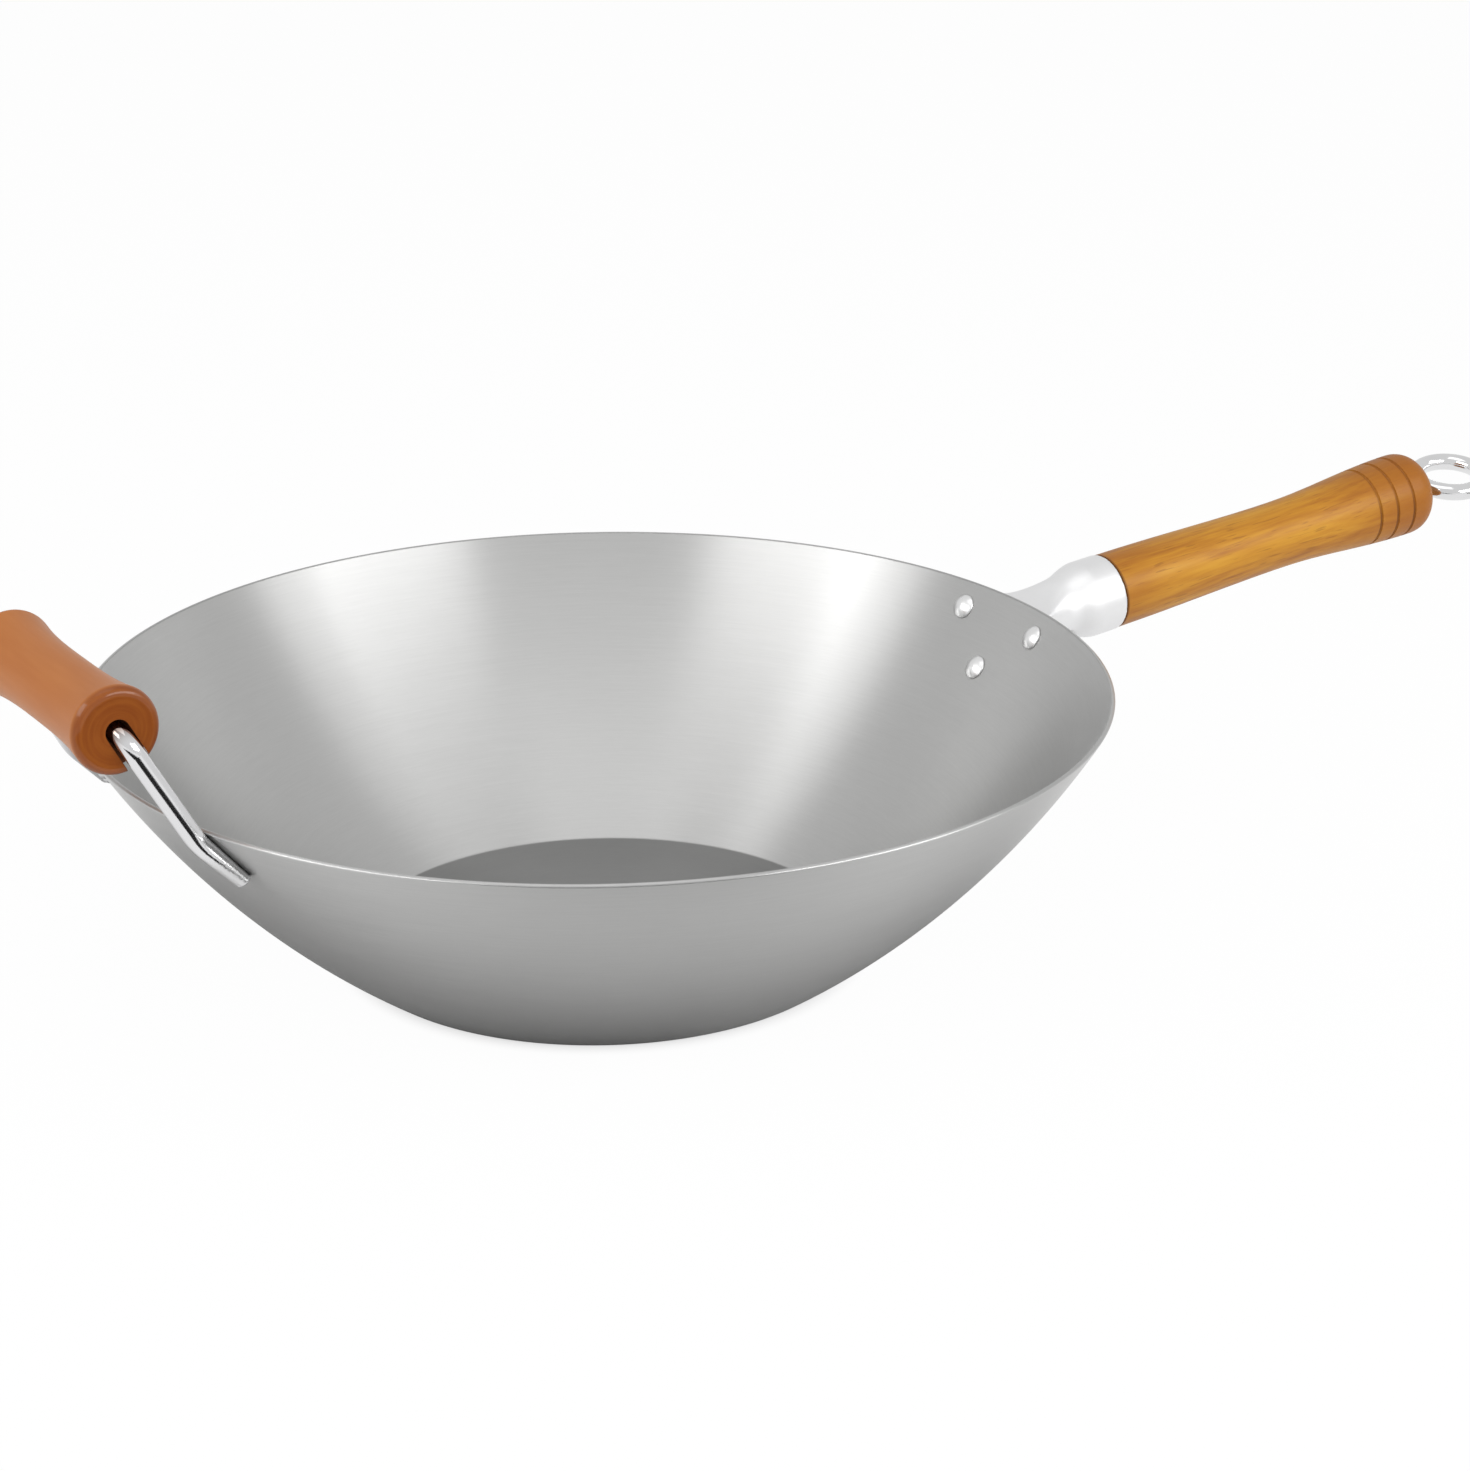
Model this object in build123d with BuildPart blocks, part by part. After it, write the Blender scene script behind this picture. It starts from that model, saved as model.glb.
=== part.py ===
from build123d import *
from math import asin, atan2, cos, degrees, hypot, pi, radians, sin, sqrt, tan
import os

os.makedirs("parts", exist_ok=True)

# A flat-bottomed carbon steel wok with a long wooden handle and a wooden helper handle.
# Sizes are in millimetres. +Z is up, +X runs along the long handle, and the origin is at
# the centre of the flat base's underside.

# Bowl: one pressed sheet, a flat base and a wall that curves up to the rim.
rim_radius = 175.0
bowl_height = 93.0
base_radius = 88.0
wall = 1.5
wall_slope_at_base = 34.8
base_knuckle_radius = 3.0
rim_rounding = 0.5

# Seating gap between pieces that are pressed together, and overrun of every cut.
seat_gap = 0.1
overrun = 5.0

# Line of the long handle: the centre of the ferrule's open end, and the rise outwards.
ferrule_past_rim = 41.2
ferrule_below_rim = 4.8
handle_rise = 5.8

# Rivets: two below the rim on either side of the neck, and one under the neck.
rivet_half_spread = 21.2
upper_rivet_below_rim = 8.5
lower_rivet_below_neck = 4.9
rivet_shank_diameter = 5.0
rivet_head_diameter = 9.0
rivet_head_height = 2.0
rivet_tail_diameter = 7.4
rivet_tail_height = 1.5
rivet_clearance = 0.1
rivet_edge_share = 0.2

# Handle bracket: a cast plate, web, cored neck and ferrule in one piece.
plate_thickness = 2.6
plate_margin = 7.6
plate_rounding = 0.8
web_below_rim = 2.0
web_root_sink = 9.0
web_root_half_width = 28.0
web_root_thickness = 2.8
web_waist_half_width = 14.8
web_waist_thickness = 5.0
web_rounding_share = 0.45
neck_root_sink = 4.3
neck_sink_in_web = 1.0
neck_root_half_width = 13.5
neck_root_below_rim = 19.4
neck_waist_before_ferrule = 11.3
neck_waist_half_width = 10.8
neck_waist_below_rim = 17.0
core_wall = 2.6
core_length = 20.0
core_corner_radius = 3.0
ferrule_floor = 4.0
ferrule_radius = 14.3
ferrule_length = 11.0
ferrule_shoulder_length = 13.0
ferrule_shoulder_radius = 11.0
ferrule_edge_rounding = 0.5
ferrule_wall = 2.15

# Captive nut in the floor of the ferrule, and the tie rod that screws into it.
nut_across_flats = 10.0
nut_thickness = 5.0
nut_chamfer = 0.6
nut_pocket_clearance = 0.15
rod_diameter = 6.0
thread_clearance = 0.05
rod_bore_clearance = 0.3
rod_end_past_nut = 7.0
rod_end_chamfer = 0.6

# Long handle: turned hardwood with a tenon, a slim waist and a rounded bulb.
grip_length = 153.0
collar_step = 0.3
grip_waist_radius = 12.6
grip_waist_from_collar = 80.0
grip_bulb_radius = 15.8
grip_dome_length = 11.0
dome_fullness = 2.3
shaft_shares = [0, 0.25, 0.5, 0.65, 0.8, 1]
dome_shares = [0, 0.45, 0.8, 0.95, 1]
tenon_length = 10.0
tenon_end_gap = 0.5
tenon_clearance = 0.15
shoulder_gap = 0.15
groove_radius = 0.7
groove_pitch = 8.0
first_groove_from_end = 15.4
groove_count = 3

# Hanging loop: a round steel eye at the outer end of the tie rod.
loop_wire_diameter = 6.4
loop_radius = 13.0
loop_roll = 9.4
loop_gap = 0.3

# Helper handle: a bent steel bail welded to the wall, and a turned grip on it.
bail_diameter = 6.5
bail_past_rim = 16.5
bail_above_rim = 36.0
leg_past_grip = 1.5
leg_splay = 3.5
foot_splay = 5.0
bail_corner_radius = 9.0
foot_end_below_rim = 17.0
foot_bend_below_rim = 2.5
foot_bend_share = 0.88
foot_width = 8.2
foot_thickness = 5.0
foot_press = 0.3
foot_end_rounding = 0.8
foot_top_share = 0.2
foot_section_shares = [0, 0.5, 1]
weld_bead_radius = 2.6
weld_bead_pitch = 3.0
weld_bead_count = 4
weld_bead_rise_share = 0.3
weld_bead_start_share = 0.75

helper_half_length = 44.5
helper_waist_radius = 12.1
helper_bulb_radius = 14.2
helper_bulb_from_end = 3.4
helper_flare_power = 3
helper_shares = [0, 0.35, 0.7, 1]
helper_bore_clearance = 0.25
helper_slot_clearance = 0.75

# Geometry of the curved wall: an arc that starts at the base's edge and ends at the rim.
base_to_rim = rim_radius - base_radius
wall_chord = hypot(base_to_rim, bowl_height)
wall_half_turn = atan2(bowl_height, base_to_rim) - radians(wall_slope_at_base)
arc_radius = wall_chord / (2 * sin(wall_half_turn))
arc_centre_reach = base_radius - arc_radius * sin(radians(wall_slope_at_base))
arc_centre_height = arc_radius * cos(radians(wall_slope_at_base))


def wall_radius(height, outset=0):
    """Distance from the bowl's axis to the outer wall, moved outset along its normal."""
    return arc_centre_reach + sqrt((arc_radius + outset) ** 2 - (arc_centre_height - height) ** 2)


def wall_arc(outset, low, high):
    """Section line of the outer wall, moved outset along its normal, between two heights."""
    radius = arc_radius + outset
    start, end = (-degrees(asin((arc_centre_height - h) / radius)) for h in (low, high))
    return CenterArc((arc_centre_reach, arc_centre_height), radius, start, end - start)


def wall_plane(sideways, height, side=1):
    """Plane that touches the outer wall at a height and a distance sideways of the XZ plane."""
    drop = asin((arc_centre_height - height) / arc_radius)
    turn = asin(sideways / wall_radius(height))
    out = Vector(side * cos(turn), sin(turn), 0)
    return Plane(
        origin=out * wall_radius(height) + Vector(0, 0, height),
        x_dir=Vector(-out.Y, out.X, 0),
        z_dir=out * cos(drop) - Vector(0, 0, sin(drop)),
    )


neck_root_bottom = bowl_height - neck_root_below_rim
upper_rivet_height = bowl_height - upper_rivet_below_rim
lower_rivet_height = neck_root_bottom - lower_rivet_below_neck
rivet_spots = [
    (-rivet_half_spread, upper_rivet_height),
    (rivet_half_spread, upper_rivet_height),
    (0, lower_rivet_height),
]
rivet_planes = [wall_plane(sideways, height) for sideways, height in rivet_spots]
rivet_hole_radius = rivet_shank_diameter / 2 + rivet_clearance

# Bowl.
with BuildPart() as wok_bowl:
    with BuildSketch(Plane.XZ):
        with BuildLine() as bowl_line:
            Line((0, 0), (base_radius, 0))
            wall_arc(0, 0, bowl_height)
            fillet(bowl_line.vertices().group_by(SortBy.DISTANCE)[1], base_knuckle_radius)
            offset(amount=wall, side=Side.LEFT)
        make_face()
    revolve(axis=Axis.Z)
    rim_edges = wok_bowl.edges().filter_by(GeomType.CIRCLE).group_by(Axis.Z)[-2:]
    fillet([edge for group in rim_edges for edge in group], rim_rounding)
    with Locations(*rivet_planes):
        Hole(rivet_hole_radius, depth=wall + overrun)

wok_bowl.part.label = "wok_bowl"
export_step(wok_bowl.part, "parts/wok_bowl.step")

# The handle's own plane: x runs outwards from the ferrule's open end, y is up.
rise = radians(handle_rise)
handle_along = Vector(cos(rise), 0, sin(rise))
handle_plane = Plane(
    origin=(rim_radius + ferrule_past_rim, 0, bowl_height - ferrule_below_rim),
    x_dir=handle_along,
    z_dir=(0, -1, 0),
)
handle_axis = Axis(handle_plane.origin, handle_along)


def across_handle(along):
    """Plane square to the long handle, at a distance outwards from the ferrule's open end."""
    return Plane(
        origin=handle_plane.from_local_coords((along, 0, 0)), x_dir=(0, 1, 0), z_dir=handle_along
    )


# Riveted plate of the bracket: it follows the wall and is a rounded triangle round the rivets.
plate_low = lower_rivet_height - plate_margin
plate_high = upper_rivet_height + plate_margin
plate_sweep = 2 * degrees(asin((rivet_half_spread + plate_margin) / wall_radius(plate_low)))

with BuildPart() as bracket_plate:
    with BuildSketch(Plane.XZ.rotated((0, 0, -plate_sweep))):
        with BuildLine():
            inner = wall_arc(seat_gap, plate_low - overrun, bowl_height)
            outer = wall_arc(seat_gap + plate_thickness, plate_low - overrun, bowl_height)
            Line(inner @ 0, outer @ 0)
            Line(inner @ 1, outer @ 1)
        make_face()
    revolve(axis=Axis.Z, revolution_arc=2 * plate_sweep)
    with BuildSketch(Plane.YZ):
        with Locations(*rivet_spots):
            Circle(plate_margin)
        make_hull()
    extrude(amount=rim_radius + overrun, mode=Mode.INTERSECT)
    plate_face = bracket_plate.faces().sort_by(SortBy.AREA)[-1]
    fillet(plate_face.edges(), plate_rounding)

# Handle bracket: web, neck and ferrule, trimmed to the wall, cored from below and joined to
# the plate. The web is wide and thin at the wall and swells into the back of the ferrule. The
# floor of the ferrule holds the captive nut and lets the tie rod through.
ferrule_back = -(ferrule_length + ferrule_shoulder_length)
ferrule_back_centre = across_handle(ferrule_back).origin
socket_radius = ferrule_radius - ferrule_wall
socket_depth = tenon_length + tenon_end_gap
nut_back = -(socket_depth + nut_thickness)
rod_end = nut_back - rod_end_past_nut
rod_bore_radius = rod_diameter / 2 + rod_bore_clearance
core_half_width = neck_waist_half_width - core_wall
core_end_reach = across_handle(nut_back - ferrule_floor).origin.X
web_top = bowl_height - web_below_rim
neck_root_reach = wall_radius(neck_root_bottom) - neck_root_sink
web_root_reach = wall_radius(web_top) - web_root_sink
neck_waist_reach = ferrule_back_centre.X - neck_waist_before_ferrule
ferrule_back_section = (
    ferrule_back_centre.X,
    ferrule_shoulder_radius,
    ferrule_back_centre.Z - ferrule_shoulder_radius,
    ferrule_back_centre.Z + ferrule_shoulder_radius,
)
web_sections = [
    (web_root_reach, web_root_half_width, web_top - web_root_thickness, web_top),
    (neck_waist_reach, web_waist_half_width, web_top - web_waist_thickness, web_top),
    ferrule_back_section,
]
neck_top = web_top - neck_sink_in_web
neck_sections = [
    (neck_root_reach, neck_root_half_width, neck_root_bottom, neck_top),
    (neck_waist_reach, neck_waist_half_width, bowl_height - neck_waist_below_rim, neck_top),
    ferrule_back_section,
]

with BuildPart() as handle_bracket:
    for sections in (web_sections, neck_sections):
        for reach, half_width, bottom, top in sections:
            with BuildSketch(Plane.YZ.offset(reach)):
                with Locations((0, (bottom + top) / 2)):
                    RectangleRounded(
                        2 * half_width,
                        top - bottom,
                        web_rounding_share * min(top - bottom, 2 * half_width),
                    )
        loft()
    with BuildSketch(handle_plane):
        with BuildLine():
            back = Line((ferrule_back, 0), (ferrule_back, ferrule_shoulder_radius))
            shoulder = Spline(
                back @ 1, (-ferrule_length, ferrule_radius), tangents=((1, 0), (1, 0))
            )
            Polyline(shoulder @ 1, (0, ferrule_radius), (0, 0), back @ 0)
        make_face()
    revolve(axis=handle_axis)
    fillet(handle_bracket.edges().sort_by(handle_axis)[-1], ferrule_edge_rounding)
    with BuildSketch(Plane.XZ.rotated((0, 0, -plate_sweep))):
        with BuildLine():
            trim = wall_arc(seat_gap + plate_thickness / 2, plate_low, bowl_height)
            Polyline(trim @ 0, (0, plate_low), (0, bowl_height), trim @ 1)
        make_face()
    revolve(axis=Axis.Z, revolution_arc=2 * plate_sweep, mode=Mode.SUBTRACT)
    with BuildSketch(Plane.XY.offset(web_top - web_root_thickness)):
        with Locations((core_end_reach - core_length / 2, 0)):
            RectangleRounded(core_length, 2 * core_half_width, core_corner_radius)
    extrude(amount=-2 * ferrule_radius, mode=Mode.SUBTRACT)
    with Locations(across_handle(0)):
        Hole(socket_radius, depth=socket_depth)
        Hole(rod_bore_radius, depth=-rod_end + rod_bore_clearance)
    with BuildSketch(across_handle(-socket_depth)):
        RegularPolygon(nut_across_flats / 2 + nut_pocket_clearance, 6, major_radius=False)
    extrude(amount=-(nut_thickness + seat_gap), mode=Mode.SUBTRACT)
    add(bracket_plate.part)
    with Locations(*[plane.offset(plate_thickness + overrun) for plane in rivet_planes]):
        Hole(rivet_hole_radius, depth=plate_thickness + 2 * overrun)

handle_bracket.part.label = "handle_bracket"
export_step(handle_bracket.part, "parts/handle_bracket.step")

# Rivets: a domed head inside the bowl, a shank through wall and plate, and a set tail.
head_seat = wall + seat_gap
tail_seat = plate_thickness + 2 * seat_gap

with BuildPart() as rivet:
    with BuildSketch(Plane.XZ):
        with BuildLine():
            head = TangentArc(
                (0, -head_seat - rivet_head_height),
                (rivet_head_diameter / 2, -head_seat - rivet_edge_share * rivet_head_height),
                tangent=(1, 0),
            )
            tail = TangentArc(
                (0, tail_seat + rivet_tail_height),
                (rivet_tail_diameter / 2, tail_seat + rivet_edge_share * rivet_tail_height),
                tangent=(1, 0),
            )
            Polyline(
                head @ 1,
                (rivet_head_diameter / 2, -head_seat),
                (rivet_shank_diameter / 2, -head_seat),
                (rivet_shank_diameter / 2, tail_seat),
                (rivet_tail_diameter / 2, tail_seat),
                tail @ 1,
            )
            Line(head @ 0, tail @ 0)
        make_face()
    revolve(axis=Axis.Z)

with BuildPart() as bracket_rivets:
    with Locations(*rivet_planes):
        add(rivet.part)

bracket_rivets.part.label = "bracket_rivets"
export_step(bracket_rivets.part, "parts/bracket_rivets.step")

# Captive nut.
with BuildPart() as ferrule_nut:
    with BuildSketch(across_handle(nut_back)):
        RegularPolygon(nut_across_flats / 2, 6, major_radius=False)
    extrude(amount=nut_thickness)
    chamfer(ferrule_nut.faces().sort_by(handle_axis)[0].edges(), nut_chamfer)
    chamfer(ferrule_nut.faces().sort_by(handle_axis)[-1].edges(), nut_chamfer)
    with Locations(across_handle(0)):
        Hole(rod_diameter / 2 + thread_clearance, depth=-nut_back + overrun)

ferrule_nut.part.label = "ferrule_nut"
export_step(ferrule_nut.part, "parts/ferrule_nut.step")

# Long handle grip.
tenon_radius = socket_radius - tenon_clearance
grip_collar_radius = ferrule_radius - collar_step
bulb_from_collar = grip_length - grip_dome_length


def shaft_radius(along):
    """Radius of the long handle at a distance from its collar, as far as the bulb."""
    if along < grip_waist_from_collar:
        swell = grip_collar_radius - grip_waist_radius
        share = 1 - along / grip_waist_from_collar
    else:
        swell = grip_bulb_radius - grip_waist_radius
        share = (along - grip_waist_from_collar) / (bulb_from_collar - grip_waist_from_collar)
    return grip_waist_radius + swell * (1 - cos(pi * share)) / 2


def dome_point(share):
    """Point of the long handle's rounded end, from the bulb to the end face."""
    fullness = (1 - share**dome_fullness) ** (1 / dome_fullness)
    return (bulb_from_collar + share * grip_dome_length, fullness * grip_bulb_radius)


shaft_stations = [shoulder_gap + share * (bulb_from_collar - shoulder_gap) for share in shaft_shares]

with BuildPart() as handle_grip:
    with BuildSketch(handle_plane):
        with BuildLine():
            shaft = Spline(
                [(along, shaft_radius(along)) for along in shaft_stations],
                tangents=((1, 0), (1, 0)),
            )
            dome = Spline(
                [dome_point(share) for share in dome_shares],
                tangents=((1, 0), (0, -1)),
            )
            Polyline(
                dome @ 1,
                (-tenon_length, 0),
                (-tenon_length, tenon_radius),
                (shoulder_gap, tenon_radius),
                shaft @ 0,
            )
        make_face()
        for index in range(groove_count):
            along = grip_length - first_groove_from_end - index * groove_pitch
            with Locations((along, shaft_radius(along))):
                Circle(groove_radius, mode=Mode.SUBTRACT)
    revolve(axis=handle_axis)
    with Locations(across_handle(grip_length + overrun)):
        Hole(rod_bore_radius, depth=grip_length + tenon_length + 2 * overrun)

handle_grip.part.label = "handle_grip"
export_step(handle_grip.part, "parts/handle_grip.step")

# Hanging loop: the eye and its tie rod, turned a little about the handle's line.
roll = radians(loop_roll)
eye_along = grip_length + loop_gap + loop_wire_diameter / 2 + loop_radius
eye_normal = handle_plane.y_dir * cos(roll) + handle_plane.z_dir * sin(roll)
eye_plane = Plane(
    origin=handle_plane.from_local_coords((eye_along, 0, 0)),
    x_dir=handle_along,
    z_dir=handle_along.cross(eye_normal),
)

with BuildPart() as hanging_loop:
    with BuildSketch(across_handle(rod_end)):
        Circle(rod_diameter / 2)
    extrude(amount=eye_along - loop_radius - rod_end)
    chamfer(hanging_loop.edges().sort_by(handle_axis)[0], rod_end_chamfer)
    with BuildSketch(eye_plane):
        with Locations((-loop_radius, 0)):
            Circle(loop_wire_diameter / 2)
    revolve(axis=Axis(eye_plane.origin, eye_normal))

hanging_loop.part.label = "hanging_loop"
export_step(hanging_loop.part, "parts/hanging_loop.step")


# Helper bail: half of the bent bar with its flattened foot and weld beads, then its mirror image.
bail_reach = rim_radius + bail_past_rim
bail_height = bowl_height + bail_above_rim
bail_half_width = helper_half_length + leg_past_grip
foot_bend_half_spread = bail_half_width + leg_splay
foot_bend_height = bowl_height - foot_bend_below_rim
foot_end_half_spread = foot_bend_half_spread + foot_splay
foot_end_height = bowl_height - foot_end_below_rim


def leg_point(sideways, height, outset):
    """Point beside the bowl on the helper's side, at a distance outside the wall."""
    return Vector(-sqrt(wall_radius(height, outset) ** 2 - sideways**2), sideways, height)


foot_end = leg_point(
    foot_end_half_spread, foot_end_height, seat_gap + foot_thickness / 2 - foot_press
)
foot_bend = leg_point(foot_bend_half_spread, foot_bend_height, bail_diameter / 2 + 2 * seat_gap)
foot_along = (foot_end - foot_bend).normalized()
foot_top = foot_bend + (foot_end - foot_bend) * foot_top_share
foot_normal = wall_plane(foot_end_half_spread, foot_end_height, side=-1).z_dir
bail_middle = Vector(-bail_reach, 0, bail_height)
bail_corner = Vector(-bail_reach, bail_half_width, bail_height)
foot_bend_turn = radians((foot_bend - bail_corner).get_angle(foot_along))
foot_bend_run = foot_bend_share * (foot_top - foot_bend).length
foot_bend_radius = foot_bend_run / tan(foot_bend_turn / 2)

with BuildPart() as helper_bail:
    with BuildLine():
        FilletPolyline(
            bail_middle,
            bail_corner,
            foot_bend,
            foot_top,
            radius=[bail_corner_radius, foot_bend_radius],
        )
    with BuildSketch(Plane(origin=bail_middle, z_dir=(0, 1, 0))):
        Circle(bail_diameter / 2)
    sweep()
    for share in foot_section_shares:
        half_width = (bail_diameter + (foot_width - bail_diameter) * share) / 2
        half_thickness = (bail_diameter + (foot_thickness - bail_diameter) * share) / 2
        station = foot_top + (foot_end - foot_top) * share
        with BuildSketch(
            Plane(origin=station, x_dir=foot_along.cross(foot_normal), z_dir=foot_along)
        ):
            Ellipse(half_width, half_thickness)
    loft()
    fillet(helper_bail.edges().sort_by(Axis.Z)[0], foot_end_rounding)
    for index in range(weld_bead_count):
        beside = foot_end - foot_along * (index + weld_bead_start_share) * weld_bead_pitch
        spot = wall_plane(beside.Y - foot_width / 2, beside.Z, side=-1)
        with Locations(spot.origin + spot.z_dir * weld_bead_radius * weld_bead_rise_share):
            Sphere(weld_bead_radius)
    with BuildSketch(Plane.XZ):
        with BuildLine():
            trim = wall_arc(seat_gap, 0, bowl_height)
            Polyline(trim @ 0, (0, 0), (0, bowl_height), trim @ 1)
        make_face()
    revolve(axis=Axis.Z, mode=Mode.SUBTRACT)
    mirror(about=Plane.XZ)

helper_bail.part.label = "helper_bail"
export_step(helper_bail.part, "parts/helper_bail.step")

# Helper grip: turned round the bail, with a slot in each end face that the leg leaves by.
helper_plane = Plane(origin=bail_middle, x_dir=(0, 1, 0), z_dir=(1, 0, 0))
helper_axis = Axis(bail_middle, (0, 1, 0))
helper_bulb_at = helper_half_length - helper_bulb_from_end
helper_swell = helper_bulb_radius - helper_waist_radius
helper_flare = atan2(helper_flare_power * helper_swell, helper_bulb_at)
helper_corner_radius = helper_bulb_from_end / (1 + sin(helper_flare))
helper_face_radius = helper_bulb_radius - helper_corner_radius * cos(helper_flare)
slot_half_width = bail_diameter / 2 + helper_slot_clearance
slot_depth = helper_half_length - bail_half_width + bail_corner_radius
slot_length = helper_bulb_radius + overrun
leg_direction = Vector(foot_bend.X - bail_corner.X, 0, foot_bend.Z - bail_corner.Z)


def helper_radius(sideways):
    """Radius of the helper grip between its waist and its bulb."""
    return helper_waist_radius + helper_swell * (sideways / helper_bulb_at) ** helper_flare_power


with BuildPart() as helper_grip:
    with BuildSketch(helper_plane):
        with BuildLine():
            side = Spline(
                [(share * helper_bulb_at, helper_radius(share * helper_bulb_at))
                 for share in helper_shares],
                tangents=((1, 0), (cos(helper_flare), sin(helper_flare))),
            )
            corner = TangentArc(
                side @ 1, (helper_half_length, helper_face_radius), tangent=side % 1
            )
            Polyline(corner @ 1, (helper_half_length, 0), (0, 0))
            mirror(about=Plane.YZ)
        make_face()
    revolve(axis=helper_axis)
    for end in (1, -1):
        end_plane = Plane(
            origin=bail_middle + Vector(0, end * helper_half_length, 0),
            x_dir=leg_direction,
            z_dir=(0, end, 0),
        )
        with BuildSketch(end_plane):
            Circle(slot_half_width)
            with Locations((slot_length / 2, 0)):
                Rectangle(slot_length, 2 * slot_half_width)
        extrude(amount=-slot_depth, mode=Mode.SUBTRACT)
    with Locations(Plane(origin=bail_middle, z_dir=(0, 1, 0))):
        Hole(bail_diameter / 2 + helper_bore_clearance)

helper_grip.part.label = "helper_grip"
export_step(helper_grip.part, "parts/helper_grip.step")
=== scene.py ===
import math

import bpy
from mathutils import Matrix, Vector


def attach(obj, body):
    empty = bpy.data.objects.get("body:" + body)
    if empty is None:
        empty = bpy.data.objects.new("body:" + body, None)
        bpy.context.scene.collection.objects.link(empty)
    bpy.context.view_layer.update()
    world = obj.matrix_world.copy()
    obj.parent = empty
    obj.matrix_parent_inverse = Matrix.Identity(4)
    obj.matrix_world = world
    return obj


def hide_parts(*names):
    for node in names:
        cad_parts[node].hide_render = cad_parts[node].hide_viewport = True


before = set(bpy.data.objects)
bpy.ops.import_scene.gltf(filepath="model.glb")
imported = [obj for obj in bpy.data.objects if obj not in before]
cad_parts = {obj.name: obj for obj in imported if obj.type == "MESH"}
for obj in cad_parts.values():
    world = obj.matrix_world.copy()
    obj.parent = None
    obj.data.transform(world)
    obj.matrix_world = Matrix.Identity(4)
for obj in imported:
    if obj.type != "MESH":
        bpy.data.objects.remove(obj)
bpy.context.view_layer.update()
scene = bpy.context.scene

# Camera: stands in front of the wok and a little to the left of the helper handle, about
# twenty degrees above the table, far enough back for a flat product view.
camera_place = (-0.5683, -0.9998, 0.5066)
camera_turn = math.radians(-31.919)
camera_tilt = math.pi / 2 - 0.359409
camera_roll = -0.00456
camera_lens = 87.945

camera_data = bpy.data.cameras.new("photo_camera")
camera_data.sensor_width = 36
camera_data.sensor_fit = "HORIZONTAL"
camera_data.lens = camera_lens
camera_data.clip_start, camera_data.clip_end = 0.05, 50
camera = bpy.data.objects.new("photo_camera", camera_data)
camera.matrix_world = (
    Matrix.Translation(camera_place)
    @ Matrix.Rotation(camera_turn, 4, "Z")
    @ Matrix.Rotation(camera_tilt, 4, "X")
    @ Matrix.Rotation(camera_roll, 4, "Z")
)
scene.collection.objects.link(camera)
scene.camera = camera
scene.view_settings.view_transform = "Standard"


# Bowl: one disc of carbon steel 1.5 mm thick, pressed to a flat base and a curved wall, then
# brushed on a lathe, so that its scratches run round it. The rim is cut square and broken.
rim_radius = 0.175
bowl_height = 0.093
base_radius = 0.088
sheet = 0.0015
slope_at_base = math.radians(34.8)
knuckle_radius = 0.003
rim_rounding = 0.0005
flat_steps, knuckle_steps, wall_steps, rim_steps = 8, 7, 44, 5
close_row = 0.0002
bowl_steps = 288
seam_distance = 1e-6

wall_chord = math.hypot(rim_radius - base_radius, bowl_height)
wall_half_turn = math.atan2(bowl_height, rim_radius - base_radius) - slope_at_base
wall_arc_radius = wall_chord / (2 * math.sin(wall_half_turn))
wall_centre = Vector((
    base_radius - wall_arc_radius * math.sin(slope_at_base),
    wall_arc_radius * math.cos(slope_at_base),
))
knuckle_centre = Vector((
    wall_centre.x + math.sqrt(
        (wall_arc_radius - knuckle_radius) ** 2 - (wall_centre.y - knuckle_radius) ** 2
    ),
    knuckle_radius,
))
slope_at_knuckle = math.atan2(
    knuckle_centre.x - wall_centre.x, wall_centre.y - knuckle_centre.y
)
slope_at_rim = slope_at_base + 2 * wall_half_turn


def arc(centre, radius, start, end, steps):
    """Points of an arc in the section's plane, by the slope of its line."""
    angles = [start + (end - start) * i / max(steps, 1) for i in range(steps + 1)]
    return [centre + radius * Vector((math.sin(a), -math.cos(a))) for a in angles]


def sheet_side(inset):
    """One side of the bowl's sheet, from its axis to the rim, with a close row at each bend."""
    flat_end = knuckle_centre.x - close_row
    flat = [Vector((flat_end * i / flat_steps, inset)) for i in range(flat_steps + 1)]
    knuckle = arc(knuckle_centre, knuckle_radius - inset, 0, slope_at_knuckle, knuckle_steps)
    radius = wall_arc_radius - inset
    start = slope_at_knuckle + close_row / wall_arc_radius
    stop = slope_at_rim - (rim_rounding + close_row) / wall_arc_radius
    end = slope_at_rim - rim_rounding / wall_arc_radius
    wall = arc(wall_centre, radius, start, stop, wall_steps)
    return flat + knuckle + wall + arc(wall_centre, radius, end, end, 0)


outer_side, inner_side = sheet_side(0), sheet_side(sheet)
rim_ends = []
for inset, turn in ((rim_rounding, 0), (sheet - rim_rounding, 1)):
    corner = wall_centre + (wall_arc_radius - inset) * Vector(
        (math.sin(slope_at_rim), -math.cos(slope_at_rim))
    ) - rim_rounding * Vector((math.cos(slope_at_rim), math.sin(slope_at_rim)))
    rim_ends.append(arc(
        corner, rim_rounding, slope_at_rim + turn * math.pi / 2,
        slope_at_rim + (turn + 1) * math.pi / 2, rim_steps,
    ))
bowl_section = outer_side + rim_ends[0] + rim_ends[1] + inner_side[::-1]


def section_mesh(name, points):
    """A line of points in the XZ plane, as a mesh that a lathe tree turns."""
    mesh = bpy.data.meshes.new(name)
    mesh.from_pydata([(p[0], 0, p[1]) for p in points], [], [])
    return mesh


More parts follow.
